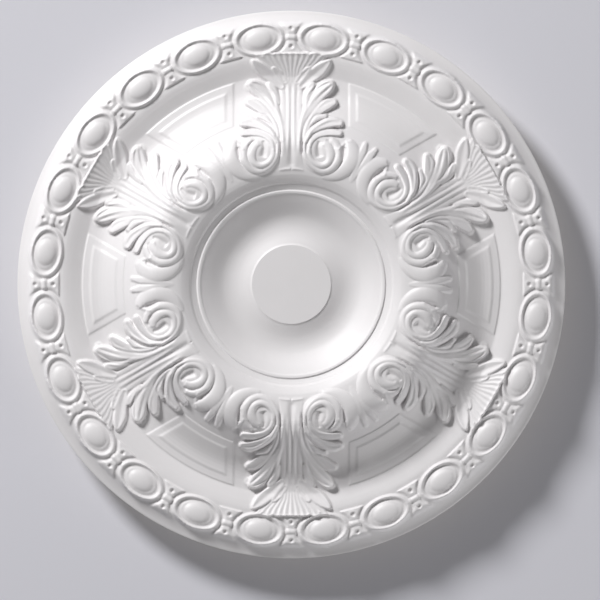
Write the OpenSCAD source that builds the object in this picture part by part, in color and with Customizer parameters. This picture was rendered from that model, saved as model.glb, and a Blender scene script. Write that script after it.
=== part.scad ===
// Round moulded ceiling rose: a lamp boss in a dish, a heavy ring carved with six scrolled
// acanthus leaves, six raised panels between them and an egg band round the edge.
// It is built face up on a round back and then stood up: the back is on y = 0, the relief
// looks along -Y, +Z is up and the origin is the middle of the back.

/* [Overall] */
// Diameter over the rim
rose_d = 600; // [400:1:900]
// Back to the top of the leaves
projection = 66; // [50:0.5:100]
// Thickness at the outer edge
edge_t = 8; // [5:0.5:15]

/* [Centre] */
// Flat boss that the lamp plate covers
boss_d = 86; // [60:1:104]
// Back to the face of the boss
boss_h = 36; // [28:0.5:48]
// Depth of the dish below the boss
dish_depth = 5.5; // [3:0.5:9]
// Mouth of the dish, inside the ring
dish_d = 222; // [190:1:240]

/* [Ring] */
// Diameter along the crest of the ring
crest_d = 286; // [270:1:300]
// Crest of the plain ring below the tops of the leaves
crest_drop = 3; // [1.5:0.5:6]
// Roundness of the inner side of the crest
crest_in_r = 60; // [45:1:80]
// Roundness of the outer side of the crest
crest_out_r = 34; // [26:1:42]

/* [Field and panels] */
// Lowest height of the field, near the egg band
field_h = 16; // [12:0.5:22]
// Diameter where the field is lowest
field_d = 452; // [430:1:460]
// Height a panel stands above the field
panel_lift = 3; // [1.5:0.5:5]
// Width of the sloped edge round a panel
bevel_w = 12; // [6:0.5:16]
// Diameters of the inner and outer edge of a panel
panel_in_d = 366; // [350:1:380]
// Outer edge of a panel
panel_out_d = 466; // [440:1:470]
// Distance from a leaf's middle line to the side of a panel
panel_side = 63; // [56:0.5:72]

/* [Egg band] */
// Number of eggs
egg_n = 24; // [16:1:28]
// Diameter through the middles of the eggs
egg_pcd = 541; // [520:1:560]
// Length of the oval ring round an egg
egg_ring_l = 55; // [40:0.5:62]
// Width of the oval ring
egg_ring_w = 34; // [26:0.5:38]
// Length of an egg
egg_l = 30; // [20:0.5:36]
// Width of an egg
egg_w = 21; // [14:0.5:24]
// Height of an egg above the band
egg_h = 6.5; // [4:0.5:10]
// Height of the band under the eggs
band_h = 20.5; // [17:0.5:24]

/* [Leaves] */
// Number of leaves and of panels
leaf_n = 6; // [4:1:6]
// Width across a leaf
leaf_w = 118; // [100:1:124]
// Distance from the centre to the foot of a leaf
leaf_foot = 128; // [120:1:134]
// Distance from the centre to the lip of a leaf's crown
leaf_lip = 255; // [248:1:260]
// Lobes down one side of a leaf
lobe_n = 4; // [3:1:5]
// Depth of the notch between lobes, as a share of the vein
notch = 0.24; // [0.08:0.01:0.32]
// Depth of the grooves along the veins
groove = 2; // [0.5:0.1:2.5]
// Height of a leaf above the field
leaf_lift = 7; // [5:0.5:10]
// Radius of a scroll
scroll_r = 19; // [18:0.5:22]
// Thickness of the roll of a scroll
roll = 9; // [6:0.5:10]
// Width across a leaf's crown
crown_w = 84; // [70:1:96]

/* [Hidden] */
$fn = 96;
R = rose_d / 2;
k = rose_d / 600;
crest_r = k * crest_d / 2;
crest_h = projection - crest_drop;
field_r = k * field_d / 2;
egg_r = k * egg_pcd / 2;
leaf_a = 360 / leaf_n;

// points along an arc: centre, radius, first and last angle, steps
function arc(c, r, a, b, n) = [for (i = [0:n]) c + r * [cos(a + (b - a) * i / n), sin(a + (b - a) * i / n)]];
function mix(a, b, t) = a + (b - a) * t;
function bend(a, b, c, t) = (1 - t) * (1 - t) * a + 2 * t * (1 - t) * b + t * t * c;
function peak(t) = 1 - abs(2 * (t - floor(t)) - 1);

// outline of the turned body: dish, ring, field, cove, egg band and rim
boss_r = k * boss_d / 2;
dish_r = k * dish_d / 2;
dish_c = [boss_r + k * 19, boss_h - dish_depth + k * 28];
in_a = acos((dish_r + k * 2 - crest_r) / (k * crest_in_r));
lip_h = crest_h - k * crest_in_r * (1 - sin(in_a));
flank = atan(1.503 * (crest_h - field_h) / (field_r - crest_r));
out_c = [crest_r, crest_h - k * crest_out_r];
out_p = out_c + k * crest_out_r * [sin(flank), cos(flank)];
field_c_r = (tan(flank) * (field_r - out_p[0]) - (out_p[1] - field_h)) / (1 / cos(flank) - 1);
profile = concat(
    [[0, boss_h], [boss_r, boss_h], [boss_r + 0.8, boss_h - 0.8]],
    arc(dish_c, k * 28, -107, -58, 7),
    [[dish_r - k * 13, lip_h - k * 7.1], [dish_r - k * 12, lip_h - k * 5.8],
     [dish_r - k * 8.5, lip_h - k * 4.1], [dish_r - k * 7.8, lip_h - k * 4.6],
     [dish_r - k * 1.5, lip_h - k * 1.6], [dish_r, lip_h + k * 0.2]],
    arc([crest_r, crest_h - k * crest_in_r], k * crest_in_r, in_a, 90, 6),
    arc(out_c, k * crest_out_r, 84, 90 - flank, 5),
    arc([field_r, field_h + field_c_r], field_c_r, 270 - flank, 270, 6),
    [[k * 234.5, field_h]],
    [for (t = [0.25:0.25:1])
        bend([k * 234.5, field_h], [k * 243, field_h], [k * 250, band_h - 0.2], t)],
    [[k * 250.5, band_h], [k * 289.4, band_h], [k * 290.4, band_h - k * 0.8],
     [k * 292.8, band_h - k * 5], [k * 298, edge_t + 1.2], [R - 1, edge_t], [R, edge_t - 1],
     [R, 0], [0, 0]]);
ground_line = [for (i = [0:len(profile) - 3]) [profile[i][0] + i * 0.0001, profile[i][1]]];
function ground(p) = lookup(norm([p[0], p[1]]), ground_line);

// closed solid from rows of top points down to a flat floor inside the body
module relief(rows, floor_h) {
    m = len(rows);
    n = len(rows[0]);
    top = [for (r = rows) for (p = r) p];
    rim = concat([for (j = [0:n - 1]) j], [for (i = [1:m - 1]) i * n + n - 1],
        [for (j = [n - 2:-1:0]) (m - 1) * n + j], [for (i = [m - 2:-1:1]) i * n]);
    q = len(rim);
    polyhedron(
        points = concat(top, [for (i = rim) [top[i][0], top[i][1], floor_h]]),
        faces = concat(
            [for (i = [0:m - 2]) for (j = [0:n - 2]) [i * n + j, (i + 1) * n + j, i * n + j + 1]],
            [for (i = [0:m - 2]) for (j = [0:n - 2]) [(i + 1) * n + j, (i + 1) * n + j + 1, i * n + j + 1]],
            [for (i = [0:q - 1]) [rim[i], rim[(i + 1) % q], m * n + i]],
            [for (i = [0:q - 1]) [rim[(i + 1) % q], m * n + (i + 1) % q, m * n + i]],
            [[for (i = [0:q - 1]) m * n + i]]));
}

// tapered roll with a flat underside along a path of points
module roll_along(path, radius, lift, floor_h) {
    n = len(path);
    rows = [for (i = [0:n - 1])
        let (d = path[min(i + 1, n - 1)] - path[max(i - 1, 0)], s = [d[1], -d[0]] / norm(d),
             p = path[i], w = radius[i], z = ground(p) + lift[i])
        [for (a = [-1, -0.5, 0.5, 1])
            [p[0] + s[0] * w * a, p[1] + s[1] * w * a, z - (abs(a) == 1 ? 0.3 * w : 0)]]];
    relief(rows, floor_h);
}

// the turned body
module body() {
    rotate_extrude() polygon(profile);
}

// one raised panel between two leaves, its edges sloped on all four sides
module panel() {
    steps = 4;
    h = leaf_a / 2;
    function side(r, off) = h - asin(k * off / r);
    function spot(r, a) = r * [cos(90 + a), sin(90 + a)];
    radii = concat([k * panel_in_d / 2],
        [for (i = [0:steps])
            mix(k * panel_in_d / 2 + k * bevel_w, k * panel_out_d / 2 - k * bevel_w, i / steps)],
        [k * panel_out_d / 2]);
    last = len(radii) - 1;
    rows = [for (i = [0:last]) let (r = radii[i], e = (i == 0 || i == last) ? -1 : panel_lift,
            o = side(r, panel_side), n = side(r, panel_side + bevel_w))
        [for (s = [1, 0.5, 0, -0.5, -1]) let (a = abs(s) == 1 ? s * o : s * 2 * n, p = spot(r, a))
            [p[0], p[1], lookup(r, ground_line) + (abs(s) == 1 ? -1 : e)]]];
    relief(rows, field_h - 5);
}

// an egg with the raised oval ring round it
module egg() {
    r = k * egg_w / 2;
    q = k * egg_ring_w / 2;
    ball = (r * r + egg_h * egg_h) / (2 * egg_h);
    translate([0, egg_r, 0]) {
        scale([egg_l / egg_w, 1, 1]) intersection() {
            translate([0, 0, band_h + egg_h - ball]) sphere(ball);
            translate([0, 0, band_h - 2]) cylinder(r = r + 2, h = egg_h + 3);
        }
        scale([egg_ring_l / egg_ring_w, 1, 1]) rotate_extrude() polygon([
            [q - 2.4, band_h - 1.5], [q - 1.6, band_h + 1.6], [q - 0.9, band_h + 2.3],
            [q + 0.3, band_h + 2.3], [q + 1, band_h + 1.6], [q + 1.6, band_h - 1.5]]);
    }
}

// the hourglass spacer between two eggs: a reel in the middle and two flared ends
module spacer() {
    w = k * 5;
    f = k * 9.5;
    h = k * 14;
    translate([0, egg_r, band_h - 2]) linear_extrude(4.2)
        polygon([[-w, 0], [-w - 1, -h * 0.45], [-f, -h], [0, -h - 1], [f, -h], [w + 1, -h * 0.45],
            [w, 0], [w + 1, h * 0.45], [f, h - 1], [0, h], [-f, h - 1], [-w - 1, h * 0.45]]);
    translate([0, egg_r, band_h + 1.4]) rotate([0, 90, 0])
        cylinder(r = k * 3.4, h = 2 * w + 2, center = true);
}

// one side of a leaf: veins rise beside the middle line and fan out to a lobed outline
module half_leaf(s) {
    segs = 4;
    strips = 4 * lobe_n;
    rows = [for (i = [0:strips]) let (
            u = i / strips,
            lobe = peak(u * lobe_n),
            ang = mix(-12, 88, u),
            foot = k * [mix(13, 8, u), mix(141, 160, u)],
            knee = k * [mix(15, 10, u), mix(172, 214, u)],
            tip = k * [8 + (leaf_w / 2 - 7) * pow(cos(ang), 0.7),
                176 + 51 * sign(ang) * pow(abs(sin(ang)), 0.8)],
            reach = 1 - notch * pow(1 - lobe, 2.2))
        [for (j = [0:segs]) let (v = j / segs, p = bend(foot, knee, foot + reach * (tip - foot), v),
                lift = mix(3, leaf_lift, pow(v, 1.3)) - (j == segs ? 1.2 : 0)
                    + groove * (lobe - 0.5) * min(1, 2 * v) * (v < 0.95 ? 1 : 0.6))
            [s * p[0], p[1], ground(p) + lift]]];
    relief(s > 0 ? rows : [for (i = [len(rows) - 1:-1:0]) rows[i]], field_h - 6);
}

// the scroll at the foot of one side of a leaf, and the small curled leaf outside it
module scroll(s) {
    c = k * [s * 32, 141];
    turns = 16;
    path = [for (i = [0:turns])
        let (t = i / turns, a = 150 + 520 * t, r = k * (scroll_r - 1.5 - (0.85 * roll + 0.6) * 520 / 360 * t))
        c + r * [s * cos(a), sin(a)]];
    roll_along(path, [for (i = [0:turns]) k * roll * mix(0.45, 0.36, i / turns)],
        [for (i = [0:turns]) crest_drop - 0.05], crest_h - 22);
    curl = [for (i = [0:6])
        let (a = 272 + 118 * i / 6, r = k * mix(24.5, 37, i / 6)) c + r * [s * cos(a), sin(a)]];
    roll_along(curl, [for (i = [0:6]) k * mix(5.4, 1.4, pow(abs(i - 2.5) / 3.5, 2))],
        [for (i = [0:6]) crest_drop - 0.4], crest_h - 26);
}

// the narrow side lobe that lies beside its twin from the next leaf
module side_lobe(s) {
    path = [for (i = [0:4])
        let (r = k * mix(136, 177, i / 4), a = leaf_a / 2 - asin(k * mix(3.8, 7.6, i / 4) / r))
        r * [s * sin(a), cos(a)]];
    roll_along(path, [for (i = [0:4]) k * [2.2, 2.9, 3.2, 2.8, 1.2][i]],
        [for (i = [0:4]) crest_drop - 0.6], crest_h - 36);
}

// the ribs that run from the foot of a leaf to its crown
module midrib() {
    rows = [for (i = [0:6]) let (t = i / 6, y = k * mix(leaf_foot, 226, t))
        [for (j = [0:6]) let (x = k * (j - 3) * mix(3.8, 3.4, t))
            [x, y, ground([x, y]) + mix(2.4, 5, min(1, 3 * t)) + (j % 2 == 0 ? -0.7 : 0.9)
                - (j % 6 == 0 ? 0.8 : 0)]]];
    relief(rows, field_h - 7);
}

// the crown: a fan that leans over the cove and ends in a scalloped lip on the egg band
module crown() {
    cols = 12;
    rows = [for (i = [0:3])
        let (t = i / 3, y = mix(212, leaf_lip, t), w = k * mix(13, crown_w / 2, pow(t, 1.5)))
        [for (j = [0:cols]) let (c = 2 * j / cols - 1, e = peak(j / 2),
                yy = k * (y - (t == 1 ? 6 * pow(abs(c), 4) + 1.2 * e : 0)))
            [c * w, yy, mix(field_h + 4.5, band_h + 4, pow(t, 1.4)) - (t == 1 ? 0 : 0.9 * e)
                - (abs(c) == 1 ? 1.2 : 0)]]];
    relief(rows, field_h - 6);
}

// a whole leaf, standing on its middle line
module leaf() {
    for (s = [-1, 1]) {
        half_leaf(s);
        scroll(s);
        side_lobe(s);
    }
    midrib();
    crown();
}

ceiling_rose();
module ceiling_rose() {
    color("#f2f1ee") rotate([90, 0, 0]) {
        body();
        for (i = [0:egg_n - 1]) rotate((i + 0.5) * 360 / egg_n) egg();
        for (i = [0:egg_n - 1]) rotate(i * 360 / egg_n) spacer();
        for (i = [0:leaf_n - 1]) rotate((i + 0.5) * leaf_a) panel();
        for (i = [0:leaf_n - 1]) rotate(i * leaf_a) resize([0, 0, 0]) leaf();
    }
}
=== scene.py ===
import math

import bpy
import numpy as np
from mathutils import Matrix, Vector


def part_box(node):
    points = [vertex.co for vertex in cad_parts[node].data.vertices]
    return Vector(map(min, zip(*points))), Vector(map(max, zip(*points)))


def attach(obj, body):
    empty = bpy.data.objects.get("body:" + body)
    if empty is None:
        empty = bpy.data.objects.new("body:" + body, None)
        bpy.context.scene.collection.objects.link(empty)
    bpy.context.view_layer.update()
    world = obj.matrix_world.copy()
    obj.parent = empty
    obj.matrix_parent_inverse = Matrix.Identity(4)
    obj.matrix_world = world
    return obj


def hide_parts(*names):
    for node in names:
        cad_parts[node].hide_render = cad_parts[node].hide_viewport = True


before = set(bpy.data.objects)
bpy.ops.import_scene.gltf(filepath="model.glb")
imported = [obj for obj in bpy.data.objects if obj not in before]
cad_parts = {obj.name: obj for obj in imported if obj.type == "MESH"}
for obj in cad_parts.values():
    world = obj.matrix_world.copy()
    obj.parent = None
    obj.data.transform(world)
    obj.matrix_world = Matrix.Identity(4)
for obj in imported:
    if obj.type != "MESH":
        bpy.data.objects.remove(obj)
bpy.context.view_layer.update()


# ---- The turned ground of the casting ----
# The rose is one casting in rigid foam. Its model was turned like a dish on a lathe, so every carved
# part stands on this ground: boss, dish, heavy ring, field, cove, egg band and rim. Sizes are in
# millimetres: distance from the centre, and height above the back.
RIM_R = 300
BOSS_R = 43
CAST_DEPTH = 67.53
rose_low, rose_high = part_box("ceiling_rose")
WIDE = (rose_high[0] - rose_low[0]) / (2 * RIM_R)      # metres for a millimetre across
DEEP = -rose_low[1] / CAST_DEPTH                       # metres for a millimetre of height

# distance from the centre and height of each turning point, from the boss to the rim
GROUND = np.array([
    (0, 36), (BOSS_R, 36), (43.5, 35.8), (44.2, 35.1), (53, 32.3), (58, 31.2), (63, 30.8), (67, 31.0),
    (71, 31.7), (75, 32.9), (79, 34.9), (84, 38.0), (90, 42.0), (98, 46.9), (98.7, 47.5), (99.4, 48.4),
    (102, 49.2), (102.8, 48.7), (103.4, 47.9), (109.4, 51.1), (110.2, 52.0), (111.6, 54.0), (113, 54.9),
    (116, 57.0), (120, 59.3), (124, 60.6), (128, 61.4), (132, 62.0), (136, 62.5), (140, 62.8),
    (144, 62.8), (148, 62.6), (152, 61.9), (156, 60.6), (160, 58.8), (164, 56.2), (168, 53.0),
    (172, 49.0), (176, 45.2), (180, 41.8), (184, 38.2), (188, 34.9), (192, 31.7), (196, 28.5),
    (200, 25.5), (204, 22.7), (208, 20.4), (212, 18.8), (216, 17.8), (220, 17.2), (226, 16.7),
    (229.5, 16.6), (231, 16.9), (237, 18.6), (242, 20.0), (247, 21.1), (250, 21.5), (262, 21.5),
    (282, 21.3), (283, 20.9), (284, 20.1), (286, 18.3), (288, 16.6), (290, 15.0), (293, 12.9),
    (296, 11.2), (299.2, 9.9), (RIM_R, 9.2)])


def ground(r):
    """Height of the turned ground: straight lines through its turning points, averaged over about 2 mm
    by a bell-shaped weight, but left crisp at the boss, the lip of the dish and the rim."""
    fine = np.arange(0, RIM_R + 0.01, 0.25)
    h = np.interp(fine, *GROUND.T)
    bell = np.hanning(11)[1:-1]
    soft = np.convolve(np.pad(h, 4, mode="edge"), bell / bell.sum(), "valid")
    crisp = (fine < 46) | (fine > 298) | ((fine > 97) & (fine < 112.5))
    return np.interp(r, fine, np.where(crisp, h, soft))


# ---- The acanthus leaves ----
# Six like leaves lie over the ring, cast with it, each a mirror image about its middle rib. Every lobe,
# roll and vein is a tool stroke: it follows a smooth path and leaves a flat, a rounded bead or a groove.
LEAF_COUNT = 6
STROKE_STEPS = 44


def stroke(rows):
    """A Catmull-Rom curve through the rows: cubic pieces that meet at each row, with the slope of the line
    between the rows before and after it."""
    p = np.asarray(rows, float)
    p = np.vstack([2 * p[0] - p[1], p, 2 * p[-1] - p[-2]])
    t = np.linspace(0, len(rows) - 1, STROKE_STEPS)
    i = np.minimum(t.astype(int), len(rows) - 2)
    u = (t - i)[:, None]
    a, b, c, d = p[i], p[i + 1], p[i + 2], p[i + 3]
    return 0.5 * (2 * b + (c - a) * u + (2 * a - 5 * b + 4 * c - d) * u**2 + (3 * b - a - 3 * c + d) * u**3)


def beside(x, y, rows):
    """The place on a stroke where distance over half-width is least. Gives that ratio, the distance, the
    stroke's height there and how far along the stroke it is, from 0 to 1."""
    q = stroke(rows)
    a, d = q[:-1], np.diff(q, axis=0)
    px, py = x[..., None] - a[:, 0], y[..., None] - a[:, 1]
    t = np.clip((px * d[:, 0] + py * d[:, 1]) / (d[:, 0]**2 + d[:, 1]**2), 0, 1)
    away = np.hypot(px - t * d[:, 0], py - t * d[:, 1])
    wide = np.maximum(a[:, 2] + t * d[:, 2], 0.2)
    nearest = np.argmin(away / wide, axis=-1)[..., None]
    t, away, wide = (np.take_along_axis(v, nearest, -1)[..., 0] for v in (t, away, wide))
    nearest = nearest[..., 0]
    return away / wide, away, a[nearest, 3] + t * d[nearest, 3], (nearest + t) / len(a)


def ease(t):
    """0 below 0, 1 above 1 and an even S, t squared times (3 - 2 t), between them."""
    t = np.clip(t, 0, 1)
    return t * t * (3 - 2 * t)


def within(s, away, edge_width):
    """1 inside a stroke's outline and 0 outside it, eased over the width of its edge. The outline is
    distance over s, less the distance, away."""
    to_outline = away / np.maximum(s, 1e-6) - away
    return ease(np.where(s < 1e-6, 9, to_outline) / edge_width + 0.5)


# Each row of a stroke is x from the middle rib, y from the centre, half-width and height.
# These are the flat lobes with rounded tips, the stem first.
LOBES = [
    [(0, 112, 13.5, 0.0), (0, 127, 13, 0.2), (0, 140, 12, 1.4), (0, 160, 11.5, 2.8), (0, 180, 12, 3.4),
     (0, 200, 12, 2.6), (0, 214, 12.5, 1.8), (0, 228, 13, 1.2)],
    [(10, 158, 3.5, 3.0), (14.5, 180, 4.5, 4.2), (22, 198, 7, 5.0), (31, 208.5, 7.8, 5.8),
     (38.5, 215, 7.2, 6.6), (43, 219, 4.8, 7.2)],
    [(14, 165, 2.5, 3.4), (21, 182, 4, 4.2), (30, 190.5, 5.5, 5.0), (38.5, 196.5, 6.2, 6.0),
     (46.5, 199, 4.0, 6.8)],
    [(14, 162, 2.2, 3.2), (19.5, 175, 2.8, 4.0), (28, 181.5, 3.2, 4.2), (37, 184, 2.6, 4.6)],
    [(15.5, 156, 2.5, 3.0), (23, 167, 4, 4.6), (34, 174, 5.5, 5.2), (45, 177, 5.4, 5.8),
     (53.5, 176, 3.6, 6.6)],
    [(18.5, 148, 2.6, 2.6), (21.5, 157, 3.4, 2.7), (29, 163.5, 3.8, 2.9), (41, 166.2, 4.1, 3.8),
     (53, 164.8, 3.1, 5.4)],
    [(14, 198, 2, 3.2), (16.5, 206, 3.5, 3.8), (20.5, 215, 4, 3.8), (24, 219.5, 2.5, 3.6)],
    [(66, 113, 2.6, 0.4), (71.5, 127, 3.6, 1.4), (76.5, 140, 4.2, 2.0), (81, 153, 2.6, 2.6)],
]

# rounded rolls: the two turns of the scroll and the leaflet curled round it
ROLLS = [
    [(18.6, 150, 2.8, 3.0), (19.6, 140, 3.0, 3.3), (24.5, 132.6, 3.2, 3.8), (33, 129, 3.4, 4.2),
     (40.5, 132.4, 3.6, 3.8), (43.2, 141, 4.4, 3.0), (40.5, 150, 4.0, 2.6), (34.5, 155, 3.0, 2.2)],
    [(14.3, 158, 1.8, 3.2), (14.2, 148, 1.9, 3.2), (16.6, 137.5, 2.6, 3.2), (23, 128.4, 3.0, 3.2),
     (33, 123, 3.4, 3.2), (43, 125.4, 3.8, 3.4), (50, 133.6, 3.9, 3.4), (52.2, 143, 3.6, 2.8),
     (49, 153, 3.4, 2.6), (42, 159, 2.8, 2.6)],
    [(33, 117.5, 2.2, 0.8), (45, 117.8, 4.4, 1.9), (56, 122.6, 6.2, 2.5), (64, 131.5, 7.2, 2.8),
     (67, 142, 7.2, 2.8), (65.5, 151, 5.4, 3.0), (62.5, 157.5, 2.4, 3.0)],
]

# veins: beads, and grooves where the height is negative
VEINS = [
    [(11.9, 138, 1.8, -1.6), (12.1, 152, 1.4, -2.6), (12.6, 166, 1.2, -2.0), (16, 177.5, 1.2, -1.5),
     (23, 188, 1.2, -1.3), (33, 199, 1.3, -1.4), (43.5, 208, 1.4, -2.0)],
    [(17, 190, 1.1, -0.5), (20, 202.5, 1.3, -1.7), (25.5, 211.5, 1.3, -2.0), (34, 217.5, 1.3, -1.9),
     (43, 221.5, 1.1, -1.2)],
    [(25, 199, 1.0, -0.2), (33, 207.5, 1.2, -0.8), (39.5, 213.5, 1.2, -1.4), (46, 219, 1.0, -1.0)],
    [(14.6, 160, 1.0, -0.8), (18, 170.5, 1.1, -1.2), (22, 179, 1.2, -1.4), (26.5, 184.6, 1.2, -1.5),
     (34, 186, 1.2, -1.3)],
    [(17.6, 166, 1.0, -0.8), (23.5, 172.5, 1.3, -2.0), (30, 177.6, 1.4, -2.2), (38, 181.3, 1.2, -1.6)],
    [(16.8, 142, 1.1, -1.4), (17.4, 151, 1.1, -1.7), (20.2, 159, 1.1, -1.6), (26, 165, 1.2, -1.6),
     (36, 169, 1.3, -1.6), (46, 170.2, 1.3, -1.6), (53, 169.6, 1.4, -2.4)],
    [(30, 192, 1.0, -0.4), (39, 198.5, 1.3, -0.9), (48, 201, 1.2, -0.8)],
    [(30, 172, 0.9, -0.3), (42, 176.5, 1.2, -0.9), (54, 176.5, 1.1, -0.7)],
    [(0, 127, 3.4, -0.8), (0, 136, 3.4, -2.1), (0, 150, 2.6, -2.1), (0, 168, 1.5, -1.4),
     (0, 200, 1.0, -0.8), (0, 224, 0.9, -0.3)],
    [(6.0, 172, 0.9, -0.2), (5.8, 190, 1.0, -0.8), (6.0, 204, 1.0, -1.0), (7.4, 224, 0.9, -0.3)],
    [(3.4, 144, 1.6, 0.5), (3.0, 170, 1.4, 0.8), (2.9, 195, 1.3, 0.8), (3.4, 224, 1.2, 0.5)],
    [(8.6, 138, 2.2, 1.2), (8.9, 158, 1.8, 1.2), (10.6, 177, 1.7, 1.1), (16, 190.5, 1.6, 1.0),
     (23, 201, 1.5, 0.9), (32, 210.5, 1.4, 0.9), (42, 218.6, 1.3, 0.7)],
    [(14.6, 199, 1.2, 1.0), (19, 209.5, 1.4, 1.4), (26, 217, 1.4, 1.5), (35, 222, 1.4, 1.5),
     (43, 223.6, 1.3, 1.2)],
    [(17.5, 158, 1.4, 0.9), (22, 168, 1.6, 1.5), (31, 174.8, 1.5, 1.3), (42, 179.8, 1.4, 1.1),
     (54, 180, 1.2, 0.9)],
    [(20, 184.5, 1.0, 0.5), (26, 191, 1.3, 1.0), (34, 199, 1.2, 0.9), (42, 205, 1.1, 0.9)],
    [(24, 179.5, 1.0, 0.5), (28.5, 183.2, 1.2, 0.9), (36, 184.6, 1.0, 0.7)],
    [(0, 125.8, 1.3, 1.1), (7, 125.5, 1.3, 1.0), (14, 124.3, 1.1, 0.5)],
    [(46, 211, 1.2, 0.8), (49.5, 215, 1.3, 1.2), (49.5, 220, 1.2, 0.8)],
    [(31.2, 138, 3.4, -2.2), (30, 144, 3.2, -2.8), (29.4, 150, 2.4, -2.2), (31, 157, 1.5, -1.6)],
    [(55.4, 136, 1.8, -1.0), (56.6, 143, 2.2, -2.4), (58.6, 150, 1.8, -2.0)],
    [(38, 157.4, 1.1, -1.0), (43.5, 154.6, 1.2, -1.4), (47.6, 148, 1.2, -1.2)],
    [(51, 146, 1.2, 0.8), (56, 152, 1.3, 1.2), (61.5, 156.4, 1.2, 1.0)],
    [(70.6, 117, 1.2, -0.6), (76.5, 131, 1.3, -0.9), (81.5, 143, 1.2, -0.6)],
    [(75.5, 118, 1.6, 0.4), (80, 129, 1.6, 0.7), (84, 140, 1.3, 0.5)],
]


def leaf(x, y):
    """Leaf above the ground: the highest of the scroll's round bed, the lobes, which step down at their
    outline, and the rolls, which are half ellipses. Every vein is then added as height times e to the
    minus s squared, with s the distance over the half-width, and fades at both ends."""
    bed_x, bed_y, bed_r, foot_r = 32.5, 141, 20.6, 126
    parts = [0.9 * ease((bed_r - np.hypot(x - bed_x, y - bed_y)) / 2.5 + 0.5)]
    for rows in LOBES:
        s, away, h, _ = beside(x, y, rows)
        parts.append(h * within(s, away, 2.0) * (1 - 0.10 * np.minimum(s, 1)**2))
    for rows in ROLLS:
        s, _, h, t = beside(x, y, rows)
        fade = ease(t / 0.06 + 0.35) * ease((1 - t) / 0.06 + 0.35)
        parts.append(h * fade * np.sqrt(np.clip(1 - (s / 1.12)**2, 0, 1)))
    parts[1] *= ease((np.hypot(x, y) - foot_r) / 1.6 + 0.5)      # the stem is cut off round at its foot
    lift = np.max(parts, axis=0)
    for rows in VEINS:
        s, _, h, t = beside(x, y, rows)
        lift = lift + h * np.exp(-s * s) * ease(t / 0.12 + 0.1) * ease((1 - t) / 0.12 + 0.1)
    return lift


# ---- The leaf's crown ----
# Past its neck the leaf opens into a fan, cast with it, that leans out over the cove and ends in a
# scalloped lip on the egg band. At each side a large and a small pointed lobe lie in front of it.
CROWN_LOBES = [
    [(11, 217, 4, 0.9), (21, 226.5, 6.5, 1.5), (31, 234.5, 7.2, 2.2), (38.5, 241, 4.4, 3.0),
     (42, 244.5, 1.6, 3.4)],
    [(7, 222, 3, 0.8), (12.5, 229, 3.8, 1.4), (17.5, 234.5, 3.2, 2.2), (20, 237, 1.4, 2.6)],
]


def crown(x, y, base):
    """Height of the fan: it rises from the field towards the lip as a power of the distance, fluted by a
    cosine across its width. Each pointed lobe lies on the ground with a raised edge and a grooved middle."""
    # half-width of the fan along the leaf, and how far out its scalloped lip reaches
    wide = np.interp(y, [208, 214, 222, 235, 246, 253, 258], [11.5, 12.5, 15, 22, 36, 41, 42])
    across = x / wide
    lip = np.select([x < 19.4, x < 31.5, x < 42],
                    [np.full_like(x, 253.8), 251.8 + 2.6 * np.sin(np.pi * np.clip((x - 19) / 13, 0, 1)),
                     249.8 + 2.8 * np.sin(np.pi * np.clip((x - 31.5) / 9.5, 0, 1))], 249)
    rise = 18.4 + 8.2 * np.clip((y - 227) / 26, 0, 1)**1.2
    flute = 0.55 * np.cos(2 * np.pi * across / 0.165) * ease((y - 210) / 16)
    rim = 0.9 * np.exp(-((y - lip + 1.3) / 1.1)**2) * ease((y - 240) / 8)
    fan = np.maximum(rise, base + 0.8) + flute + rim - 0.5 * across**2
    inside = ease((lip - y) / 1.3 + 0.5) * ease((wide - x) / 2.2 + 0.5) * ease((y - 211) / 8)
    top = base + (fan - base) * inside
    for rows in CROWN_LOBES:
        s, away, h, _ = beside(x, y, rows)
        step = within(s, away, 1.5)
        blade = base + h + 1.0 + 0.5 * np.exp(-((s - 0.72) / 0.2)**2) - 0.7 * np.exp(-(s / 0.3)**2)
        top = np.where(step > 0, np.maximum(top, base + (blade - base) * step), top)
    return top


# ---- The raised panels ----
# A plain panel fills the field between two leaves, part of the same casting. It follows the ground, and
# on all four sides its edge is a small step, a narrow ledge and a second step.
PANEL_IN_R, PANEL_OUT_R = 183, 229.5
PANEL_SIDE = 62.5          # from the leaf's middle rib to the side of the panel


def panel(x, r):
    """Rise of a panel by distance inside its outline: a crisp step, a ledge that climbs evenly and a
    softer step."""
    inside = np.minimum(np.minimum(r - PANEL_IN_R, PANEL_OUT_R - r), x - PANEL_SIDE)
    step, ledge, slope = ease(inside / 1.4), np.clip(inside / 9, 0, 1), ease((inside - 7.5) / 3.5)
    return 1.0 * step + 0.5 * ledge + 1.1 * slope


# ---- The egg band ----
# Twenty-four eggs, each in an oval ring, follow one another round the band, cast with it. A spacer like
# a tied reel fills each gap: a bead in the middle and a flared, pierced end above and below it.
EGG_COUNT = 24
EGG_R = 270.5              # centre of the rose to the middle of an egg
OVAL_HALF_LONG, OVAL_HALF_WIDE = 27.4, 17.8
EGG_HALF_LONG, EGG_HALF_WIDE = 14.6, 10.4
HOLE_OFF = 10              # middle of a spacer to each of its two holes
SPACER_HALF_TURN = 3.6     # degrees to each side of a gap's middle that belong to the spacer


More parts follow.
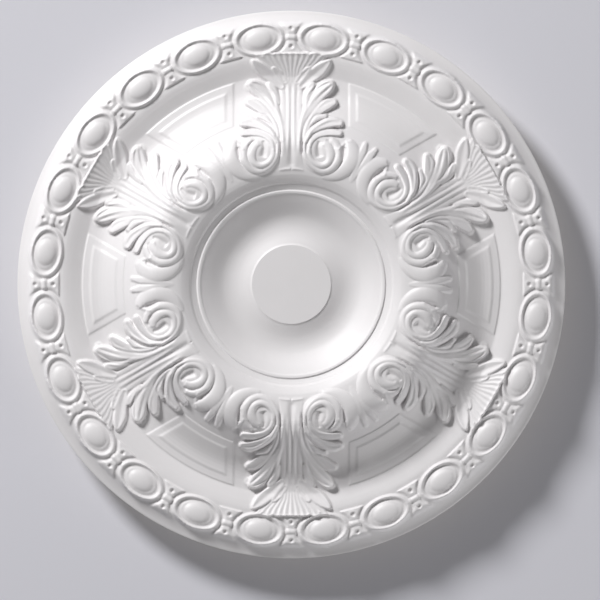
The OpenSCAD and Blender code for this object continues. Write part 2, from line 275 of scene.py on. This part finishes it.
def egg_band(x, y, base):
    """Height of the band. The elliptical distance from an egg's middle, oval, is 1 at the ring's outside.
    The floor rises as its square. The egg is the height of a half ellipsoid to the power 1.25, and the
    ring is e to the minus fourth power of (oval - 0.94) over 0.095. In the gap the spacer is the highest
    of a bead, half round in section, collars that fall off by the same law, and pierced ends."""
    r, around = np.hypot(x, y), np.degrees(np.arctan2(x, y))
    pitch = 360 / EGG_COUNT
    off = np.radians(around % pitch - pitch / 2)
    u, v = r * np.sin(off), r * np.cos(off) - EGG_R
    oval = np.sqrt((u / OVAL_HALF_LONG)**2 + (v / OVAL_HALF_WIDE)**2)
    dome = np.sqrt(np.clip(1 - (u / EGG_HALF_LONG)**2 - (v / EGG_HALF_WIDE)**2, 0, 1))
    dish = 20.5 + 2.1 * oval**2 + 1.7 * ease((0.74 - oval) / 0.12) + 4.4 * dome**1.25
    ring = 2.6 * np.exp(-((oval - 0.94) / 0.095)**4)
    top = np.where(oval < 0.95, dish, np.minimum(base, 21.6)) + ring
    gap = np.radians((around + pitch / 2) % pitch - pitch / 2)
    u, v = np.abs(r * np.sin(gap)), np.abs(r * np.cos(gap) - EGG_R)
    bead = 3.8 * np.sqrt(np.clip(1 - (v / 3.4)**2, 0, 1)) * ease((5.6 - u) / 1.3 + 0.5)
    collar = 2.7 * np.exp(-((v - 5.4) / 1.0)**4) * ease((4.9 - u) / 1.2 + 0.5)
    wing = 2.2 * ease((3.6 + 0.034 * v * v - u) / 1.3 + 0.5) * ease((16.4 - v) / 1.4 + 0.5)
    wing = wing + 0.9 * np.exp(-((np.hypot(u, v - HOLE_OFF) - 3.2) / 1.0)**2)
    hole = 3.6 * np.exp(-np.hypot(u / 1.7, (v - HOLE_OFF) / 2.0)**4)
    spacer = np.max([bead, collar, wing - hole], axis=0)
    return np.where(np.degrees(np.abs(gap)) < SPACER_HALF_TURN, np.maximum(top, base + spacer), top)


# ---- One sixth of the casting ----
# The mould repeats every sixth of a turn, so the face is laid out once, on rings round the centre, for
# half a leaf and half a panel, and mirrored at the leaf's middle rib. It is sprayed with white primer.
HALF_COLUMNS = 120
FIELD_FROM, FIELD_TO = 108, 262        # where the leaves and panels fade out, inside and outside
LEAF_TO = 234                          # where the crown takes over from the leaf
CROWN_FROM, BAND_FROM = 208, 250
FULL_PAINTED_SHADE_DEPTH = 3.0                      # depth below its surroundings that gives the full painted shade
rings = np.concatenate([[BOSS_R, 43.4, 43.8, 44.4], np.arange(46, 97, 2.0), [97.4, 98],
                        np.arange(98.6, 104, 0.6), np.arange(104.2, 109.6, 0.8),
                        np.arange(109.8, 256, 0.62), np.arange(256, 283, 0.85),
                        np.arange(283, 298, 1.0), [298, 298.7, 299.3, 299.7, 299.95]])
turn = np.radians(np.linspace(0, 180 / LEAF_COUNT, HALF_COLUMNS + 1))
r_grid, turn_grid = np.meshgrid(rings, turn, indexing="ij")
x_grid, y_grid = r_grid * np.sin(turn_grid), r_grid * np.cos(turn_grid)
height = ground(r_grid)
carved = rings > FIELD_FROM
band = rings > BAND_FROM
lipped = (rings > CROWN_FROM) & (rings < FIELD_TO)
on_field = ease((r_grid[carved] - FIELD_FROM) / 4) * ease((FIELD_TO - r_grid[carved]) / 8)
leaf_lift = leaf(x_grid[carved], y_grid[carved]) * ease((LEAF_TO - r_grid[carved]) / 6 + 0.5)
panel_lift = panel(x_grid[carved], r_grid[carved])
height[carved] += np.where(np.abs(panel_lift) > np.abs(leaf_lift), panel_lift, leaf_lift) * on_field
height[band] = egg_band(x_grid[band], y_grid[band], ground(r_grid[band]))
height[lipped] = np.maximum(height[lipped], crown(x_grid[lipped], y_grid[lipped], ground(r_grid[lipped])))


def soften(h, times):
    """Averages half of each point with an eighth of each of its four neighbours, over and over; past the
    border it sees its own mirror image."""
    for _ in range(times):
        p = np.pad(h, 1, mode="reflect")
        h = (4 * h + p[2:, 1:-1] + p[:-2, 1:-1] + p[1:-1, 2:] + p[1:-1, :-2]) / 8
    return h


def both_sides(half):
    """A half with its mirror image joined on along the middle rib."""
    return np.concatenate([half[:, :0:-1], half], axis=1)


height[carved] = soften(height[carved], 2)
# painted shade: the depth of each point below its surroundings, softened 30 times, darkens the hollows
painted_hollow_shade = both_sides(soften(height, 30) - height)
height = both_sides(height)
turn = np.concatenate([-turn[:0:-1], turn])


def cast_skin():
    """Node group for the skin of cast foam: slow mottling plus painted shade, which darkens the hollows,
    tints and roughens it, and fine grain gives its height."""
    group = bpy.data.node_groups.new("cast skin", "ShaderNodeTree")
    socket = group.interface.new_socket
    socket("Grain size", in_out="INPUT", socket_type="NodeSocketFloat").default_value = 900
    socket("Painted shade", in_out="INPUT", socket_type="NodeSocketFloat").default_value = 0
    socket("Light", in_out="INPUT", socket_type="NodeSocketColor").default_value = (0.8, 0.8, 0.8, 1)
    socket("Shade", in_out="INPUT", socket_type="NodeSocketColor").default_value = (0.7, 0.7, 0.7, 1)
    socket("Colour", in_out="OUTPUT", socket_type="NodeSocketColor")
    socket("Roughness", in_out="OUTPUT", socket_type="NodeSocketFloat")
    socket("Height", in_out="OUTPUT", socket_type="NodeSocketFloat")
    n, link = group.nodes, group.links.new
    ins, outs = n.new("NodeGroupInput"), n.new("NodeGroupOutput")
    place = n.new("ShaderNodeTexCoord")
    mottle, grain = n.new("ShaderNodeTexNoise"), n.new("ShaderNodeTexNoise")
    mottle.inputs["Scale"].default_value, mottle.inputs["Detail"].default_value = 22, 5
    grain.inputs["Detail"].default_value = 3
    link(place.outputs["Object"], mottle.inputs["Vector"])
    link(place.outputs["Object"], grain.inputs["Vector"])
    link(ins.outputs["Grain size"], grain.inputs["Scale"])
    spread = n.new("ShaderNodeMapRange")
    spread.inputs["From Min"].default_value, spread.inputs["From Max"].default_value = 0.3, 0.7
    spread.inputs["To Min"].default_value, spread.inputs["To Max"].default_value = 0.0, 0.3
    link(mottle.outputs["Fac"], spread.inputs["Value"])
    # slow mottling plus painted shade in the hollows sets the colour and the roughness
    tone_and_painted_shade = n.new("ShaderNodeMath")
    tone_and_painted_shade.operation, tone_and_painted_shade.use_clamp = "ADD", True
    link(spread.outputs["Result"], tone_and_painted_shade.inputs[0])
    link(ins.outputs["Painted shade"], tone_and_painted_shade.inputs[1])
    tint = n.new("ShaderNodeMix")
    tint.data_type = "RGBA"
    link(tone_and_painted_shade.outputs[0], tint.inputs["Factor"])
    link(ins.outputs["Light"], tint.inputs["A"])
    link(ins.outputs["Shade"], tint.inputs["B"])
    link(tint.outputs["Result"], outs.inputs["Colour"])
    rough = n.new("ShaderNodeMapRange")
    rough.inputs["To Min"].default_value, rough.inputs["To Max"].default_value = 0.42, 0.62
    link(tone_and_painted_shade.outputs[0], rough.inputs["Value"])
    link(rough.outputs["Result"], outs.inputs["Roughness"])
    link(grain.outputs["Fac"], outs.inputs["Height"])
    return group


CAST_SKIN = cast_skin()


def cast_material(name, light, shade, grain_size, bump_depth, paints_hollow_shade):
    """Material of one side of the casting, on the shared skin."""
    mat = bpy.data.materials.new(name)
    mat.use_nodes = True
    n, link = mat.node_tree.nodes, mat.node_tree.links.new
    shader = n["Principled BSDF"]
    shader.inputs["Specular IOR Level"].default_value = 0.4
    skin = n.new("ShaderNodeGroup")
    skin.node_tree = CAST_SKIN
    skin.inputs["Grain size"].default_value = grain_size
    skin.inputs["Light"].default_value = (*light, 1)
    skin.inputs["Shade"].default_value = (*shade, 1)
    # the primer side is darkened in its hollows by painted shade
    if paints_hollow_shade:
        painted_shade_attribute = n.new("ShaderNodeAttribute")
        painted_shade_attribute.attribute_name = "painted_hollow_shade"
        link(painted_shade_attribute.outputs["Fac"], skin.inputs["Painted shade"])
    bump = n.new("ShaderNodeBump")
    bump.inputs["Strength"].default_value = 0.3
    bump.inputs["Distance"].default_value = bump_depth
    link(skin.outputs["Colour"], shader.inputs["Base Color"])
    link(skin.outputs["Roughness"], shader.inputs["Roughness"])
    link(skin.outputs["Height"], bump.inputs["Height"])
    link(bump.outputs["Normal"], shader.inputs["Normal"])
    return mat


# the primer reads the painted shade of the hollows
PRIMER = cast_material("primer_over_foam", (0.885, 0.862, 0.872), (0.80, 0.78, 0.785), 1400, 0.0002, True)


def lay_mesh(name, points, faces, material, painted_shade=None):
    """A smooth piece of the rose from whole arrays of corners and faces, riding with the rose."""
    mesh = bpy.data.meshes.new(name)
    mesh.vertices.add(len(points))
    mesh.vertices.foreach_set("co", points.astype(np.float32).ravel())
    mesh.loops.add(faces.size)
    mesh.loops.foreach_set("vertex_index", faces.astype(np.int32).ravel())
    mesh.polygons.add(len(faces))
    mesh.polygons.foreach_set("loop_start", np.arange(0, faces.size, faces.shape[1], dtype=np.int32))
    mesh.update(calc_edges=True)
    mesh.shade_smooth()
    # the painted shade of the hollows is kept on the corners
    if painted_shade is not None:
        painted_shade_attribute = mesh.attributes.new("painted_hollow_shade", "FLOAT", "POINT")
        painted_shade_attribute.data.foreach_set("value", painted_shade.astype(np.float32).ravel())
    mesh.materials.append(material)
    piece = bpy.data.objects.new(name, mesh)
    bpy.context.scene.collection.objects.link(piece)
    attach(piece, "root")
    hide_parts("ceiling_rose")


def quads(rows, columns):
    """Corner numbers of the quads of a grid whose rows run outwards and columns clockwise."""
    i = np.arange(rows * columns).reshape(rows, columns)
    return np.stack([i[:-1, :-1], i[:-1, 1:], i[1:, 1:], i[1:, :-1]], -1).reshape(-1, 4)


edge_heights = np.array([8.6, 4.5, 0])         # down the straight side of the rim to the back
side = np.repeat(edge_heights[:, None], height.shape[1], axis=1)
r_all = np.concatenate([rings, np.full(len(edge_heights), RIM_R)])
h_all = np.vstack([height, side])
# painted shade of the hollows, from 0 to 1, and none down the side of the rim
painted_shade_mark = np.clip(np.vstack([painted_hollow_shade, np.zeros_like(side)]) / FULL_PAINTED_SHADE_DEPTH, 0, 1)
# the same sixth six times, each a sixth of a turn further on
for number in range(LEAF_COUNT):
    angle = np.radians(90 + 360 / LEAF_COUNT * number) - turn
    points = np.stack([WIDE * r_all[:, None] * np.cos(angle), -DEEP * h_all,
                       WIDE * r_all[:, None] * np.sin(angle)], -1).reshape(-1, 3)
    lay_mesh(f"carved_sixth_{number + 1}", points, quads(*h_all.shape), PRIMER, painted_shade_mark)


# ---- The boss ----
# A flat disc in the middle of the dish, left plain for the cover plate of a lamp. It is part of the
# same casting, and its edge meets the dish all the way round.
around = np.radians(90) - np.radians(np.arange(0, 360, 180 / LEAF_COUNT / HALF_COLUMNS))


def disc(radii, y, faces_ceiling):
    """A flat disc: rings of corners at each radius round one middle corner, at depth y, with triangles
    in the middle and split quads outside it."""
    count = len(around)
    ring_x, ring_z = WIDE * radii[:, None] * np.cos(around), WIDE * radii[:, None] * np.sin(around)
    corners = np.stack([ring_x, np.full_like(ring_x, y), ring_z], -1).reshape(-1, 3)
    i = np.arange(len(radii) * count).reshape(-1, count) + 1
    j = np.roll(i, -1, axis=1)
    fan = np.stack([np.zeros(count, int), j[0], i[0]], -1)
    bands = np.stack([i[:-1], j[:-1], j[1:], i[1:]], -1).reshape(-1, 4)
    faces = np.vstack([fan, bands[:, [0, 1, 2]], bands[:, [0, 2, 3]]])
    return np.vstack([[0, y, 0], corners]), faces[:, ::-1] if faces_ceiling else faces


lay_mesh("centre_boss", *disc(np.array([14, 28, BOSS_R]), -DEEP * GROUND[0, 1], False), PRIMER)


# ---- The back ----
# The flat side of the casting, where the foam was poured in and cut level. It is left bare, without
# primer, and is glued to the ceiling.
BARE_FOAM = cast_material("bare_foam", (0.82, 0.79, 0.71), (0.56, 0.51, 0.41), 520, 0.0006, False)
lay_mesh("back", *disc(np.array([100, 200, RIM_R]), 0, True), BARE_FOAM)


# ---- Wall, lights and camera ----
# The rose hangs upright just clear of a pale painted wall. One broad soft lamp lights it from the upper
# left, a weak one grazes it from the lower right and one lights its back.
WALL_GAP = 0.033           # metres from the back to the wall
WALL_HALF = 4              # metres from the wall's middle to its edges
wall_mesh = bpy.data.meshes.new("wall")
wall_corners = [(x * WALL_HALF, WALL_GAP, z * WALL_HALF) for x, z in ((-1, -1), (1, -1), (1, 1), (-1, 1))]
wall_mesh.from_pydata(wall_corners, [], [(0, 1, 2, 3)])
wall = bpy.data.objects.new("wall", wall_mesh)
bpy.context.scene.collection.objects.link(wall)
paint = bpy.data.materials.new("wall_paint")
paint.use_nodes = True
nodes, link = paint.node_tree.nodes, paint.node_tree.links.new
nodes["Principled BSDF"].inputs["Base Color"].default_value = (0.735, 0.73, 0.785, 1)
nodes["Principled BSDF"].inputs["Roughness"].default_value = 0.8
# the wall is clear from behind and lets light through to the rose's back
clear, choose = nodes.new("ShaderNodeBsdfTransparent"), nodes.new("ShaderNodeMixShader")
face, path = nodes.new("ShaderNodeNewGeometry"), nodes.new("ShaderNodeLightPath")
either = nodes.new("ShaderNodeMath")
either.operation = "MAXIMUM"
link(face.outputs["Backfacing"], either.inputs[0])
link(path.outputs["Is Shadow Ray"], either.inputs[1])
link(either.outputs[0], choose.inputs[0])
link(nodes["Principled BSDF"].outputs[0], choose.inputs[1])
link(clear.outputs[0], choose.inputs[2])
link(choose.outputs[0], nodes["Material Output"].inputs["Surface"])
wall_mesh.materials.append(paint)


def lamp(name, place, width, power):
    """A round area light of the given width and power, aimed at the middle of the rose."""
    light = bpy.data.lights.new(name, "AREA")
    light.shape, light.size, light.energy = "DISK", width, power
    holder = bpy.data.objects.new(name, light)
    bpy.context.scene.collection.objects.link(holder)
    holder.location = place
    x, y, z = place
    holder.rotation_euler = (math.atan2(math.hypot(x, y), z), 0, math.atan2(x, -y))


lamp("window", (-2.67, -2.73, 3.23), 1.25, 244)
lamp("bounce", (1.85, -0.42, -1.75), 1.2, 20)
lamp("behind", (1.6, 2.2, 1.4), 1.2, 30)

# the room is pale to the eye and gives a weak even light
world = bpy.data.worlds.new("room")
world.use_nodes = True
nodes, link = world.node_tree.nodes, world.node_tree.links.new
seen, either = nodes.new("ShaderNodeBackground"), nodes.new("ShaderNodeMixShader")
path = nodes.new("ShaderNodeLightPath")
seen.inputs["Color"].default_value = (0.66, 0.65, 0.69, 1)
nodes["Background"].inputs["Color"].default_value = (1.0, 1.0, 1.0, 1)
nodes["Background"].inputs["Strength"].default_value = 0.16
link(path.outputs["Is Camera Ray"], either.inputs[0])
link(nodes["Background"].outputs[0], either.inputs[1])
link(seen.outputs[0], either.inputs[2])
link(either.outputs[0], nodes["World Output"].inputs["Surface"])
bpy.context.scene.world = world
bpy.context.scene.view_settings.view_transform = "Standard"

VIEW_FROM = 10             # metres in front of the back, looking straight on
VIEW_WIDTH = 0.658         # metres across the view at the back
VIEW_X, VIEW_Z = 0.0095, -0.017        # middle of the view, right of and below the rose's middle
lens = bpy.data.cameras.new("camera")
camera = bpy.data.objects.new("camera", lens)
bpy.context.scene.collection.objects.link(camera)
camera.location = (VIEW_X, -VIEW_FROM, VIEW_Z)
camera.rotation_euler = (math.pi / 2, 0, 0)
lens.sensor_width = 36
lens.lens = lens.sensor_width * VIEW_FROM / VIEW_WIDTH
lens.clip_end = 50
bpy.context.scene.camera = camera
